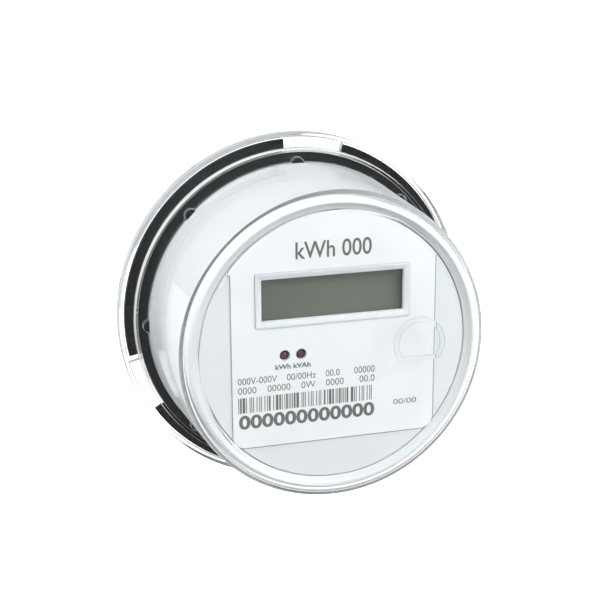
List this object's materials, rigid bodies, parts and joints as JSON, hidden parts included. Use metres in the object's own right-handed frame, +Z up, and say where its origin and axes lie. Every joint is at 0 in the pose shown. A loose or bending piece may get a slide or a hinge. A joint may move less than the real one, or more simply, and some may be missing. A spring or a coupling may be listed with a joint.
{
  "type": "socket electricity meter",
  "caption": "Round socket electricity meter: clear bayonet cover over a white drum with a label, display and lamps, on a black base with five blades.",
  "frame": {"origin": "centre of the flat back of the base, on the meter axis", "axes": "+Y out of the back, along the blades; the face looks to -Y; +Z up; +X right as seen from the front"},
  "size_m": [0.1764, 0.1192, 0.1764],
  "materials": {
    "clear": "clear moulded polycarbonate, polished",
    "white": "satin moulded plastic",
    "label": "printed sheet, satin",
    "black": "moulded thermoset, low sheen",
    "silicone": "soft moulded seal",
    "copper": "bare copper bar",
    "tin": "tin-plated metal",
    "steel": "zinc-plated steel",
    "brass": "turned brass",
    "board": "coated circuit board",
    "display": "polished display glass, switched off",
    "chip": "moulded component body",
    "blue": "moulded component body",
    "yellow": "moulded component body",
    "lamp": "tinted epoxy",
    "wire": "insulated wire"
  },
  "bodies": {
    "meter_body": {"cover_gasket": "silicone", "base": "black", "line_blade_left": "tin", "line_blade_right": "tin", "load_blade_left": "tin", "load_blade_right": "tin", "neutral_blade": "tin", "blade_pin_1": "steel", "blade_pin_2": "steel", "blade_pin_3": "steel", "blade_pin_4": "steel", "blade_pin_5": "steel", "left_strap": "copper", "left_current_transformer": "blue", "right_strap": "copper", "right_current_transformer": "blue", "inner_drum": "white", "drum_screw_1": "steel", "drum_screw_2": "steel", "drum_screw_3": "steel", "drum_screw_4": "steel", "face_plate": "white", "nameplate": "label", "power_board": "board", "display_board": "board", "base_standoff_1": "brass", "board_standoff_1": "brass", "board_screw_1": "steel", "base_standoff_2": "brass", "board_standoff_2": "brass", "board_screw_2": "steel", "base_standoff_3": "brass", "board_standoff_3": "brass", "board_screw_3": "steel", "base_standoff_4": "brass", "board_standoff_4": "brass", "board_screw_4": "steel", "supply_transformer": "yellow", "film_capacitor": "yellow", "varistor_1": "blue", "storage_capacitor_1": "chip", "varistor_2": "blue", "storage_capacitor_2": "chip", "board_link": "chip", "metering_chip": "chip", "processor_chip": "chip", "battery_holder": "chip", "crystal": "tin", "battery": "tin", "display_window": "clear", "display_glass": "display", "display_holder": "white", "left_lamp": "lamp", "right_lamp": "lamp", "port_emitter": "lamp", "port_detector": "lamp", "line_lead_left": "wire", "line_lead_right": "wire", "neutral_lead": "wire"},
    "cover_body": {"cover": "clear"}
  },
  "joints": [
    {"name": "cover_twist", "type": "hinge", "parent": "meter_body", "child": "cover_body", "pos_m": [0, -0.05, 0], "axis": [0, -1, 0], "range_deg": [0, 17]}
  ]
}
